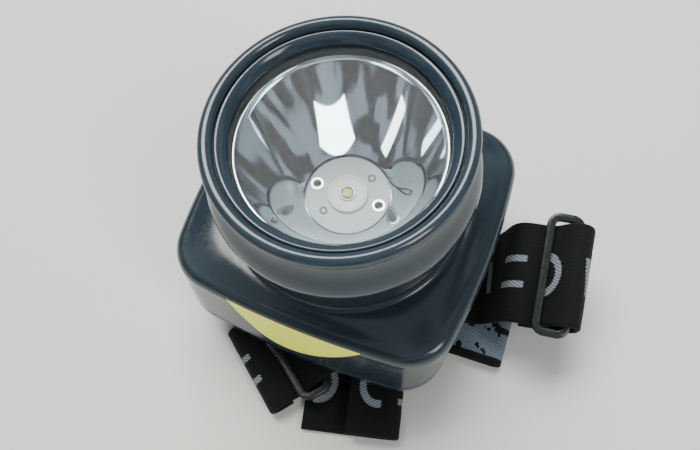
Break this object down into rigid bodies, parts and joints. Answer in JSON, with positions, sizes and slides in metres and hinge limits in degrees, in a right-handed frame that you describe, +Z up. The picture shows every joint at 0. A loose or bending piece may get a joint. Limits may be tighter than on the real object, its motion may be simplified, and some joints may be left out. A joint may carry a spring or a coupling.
{
  "type": "cordless cap lamp",
  "caption": "Cordless miner's cap lamp lying on its back: round lens head on a rounded square battery housing, on a folded elastic head strap.",
  "frame": {"origin": "on the table under the lens axis, on the underside of the strap layer that the lamp lies on", "axes": "+Z up along the lens axis, +X towards the right-hand strap arm, -Y towards the side with the reflective crescent"},
  "size_m": [0.0997, 0.0841, 0.0659],
  "materials": {
    "housing": "dark blue-grey moulded ABS with a high gloss",
    "lens": "clear polycarbonate, polished",
    "mirror": "vacuum-metallised mirror finish",
    "seal": "black silicone rubber",
    "board": "metal-core circuit board with white solder mask",
    "circuit": "green solder mask on glass-fibre board",
    "led": "white moulded emitter body",
    "aluminium": "turned aluminium",
    "steel": "zinc-plated steel screws",
    "cell": "blue heat-shrink sleeve",
    "component": "black moulded component",
    "button": "black soft-touch rubber",
    "crescent": "yellow-green reflective inlay",
    "strap": "black elastic jacquard webbing with grey woven figures",
    "buckle": "black moulded nylon, semi-gloss"
  },
  "bodies": {
    "lamp": {"battery_cell": "cell", "bezel_ring": "housing", "bracket_screw_1": "steel", "bracket_screw_2": "steel", "button_bushing": "buckle", "charge_indicator": "led", "charge_socket": "component", "control_board": "circuit", "front_shell": "housing", "head_cup": "housing", "heat_sink": "aluminium", "heat_sink_screw_1": "steel", "heat_sink_screw_2": "steel", "heat_sink_screw_3": "steel", "housing_gasket": "seal", "led_board": "board", "led_dome": "lens", "led_package": "led", "lens": "lens", "lens_gasket": "seal", "rear_cover": "housing", "rear_cover_screw_1": "steel", "rear_cover_screw_2": "steel", "rear_cover_screw_3": "steel", "rear_cover_screw_4": "steel", "reflective_crescent": "crescent", "reflector": "mirror", "strap_bottom_run": "strap", "strap_bracket": "buckle", "strap_left_arm": "strap", "strap_right_arm": "strap", "strap_under_run": "strap", "switch_board": "circuit", "tact_switch": "component"},
    "right_slider": {"slider_right": "buckle"},
    "left_slider": {"slider_left": "buckle"},
    "power_button": {"button_cap": "button"},
    "charging_flap": {"port_cover": "button"}
  },
  "joints": [
    {"name": "button_press", "type": "slide", "parent": "lamp", "child": "power_button", "axis": [0, -1, 0], "range_m": [0, 0.001], "stiffness_N_per_m": 400},
    {"name": "right_slider_slide", "type": "slide", "parent": "lamp", "child": "right_slider", "axis": [0.9848, 0.1736, 0], "range_m": [-0.003, 0.003], "deforming": ["strap_right_arm"]},
    {"name": "left_slider_slide", "type": "slide", "parent": "lamp", "child": "left_slider", "axis": [-0.5878, -0.809, 0], "range_m": [-0.002, 0.003], "deforming": ["strap_left_arm"]},
    {"name": "flap_hinge", "type": "hinge", "parent": "lamp", "child": "charging_flap", "pos_m": [-0.03765, 0.011, 0.0174], "axis": [0, -1, 0], "range_deg": [0, 110]}
  ]
}
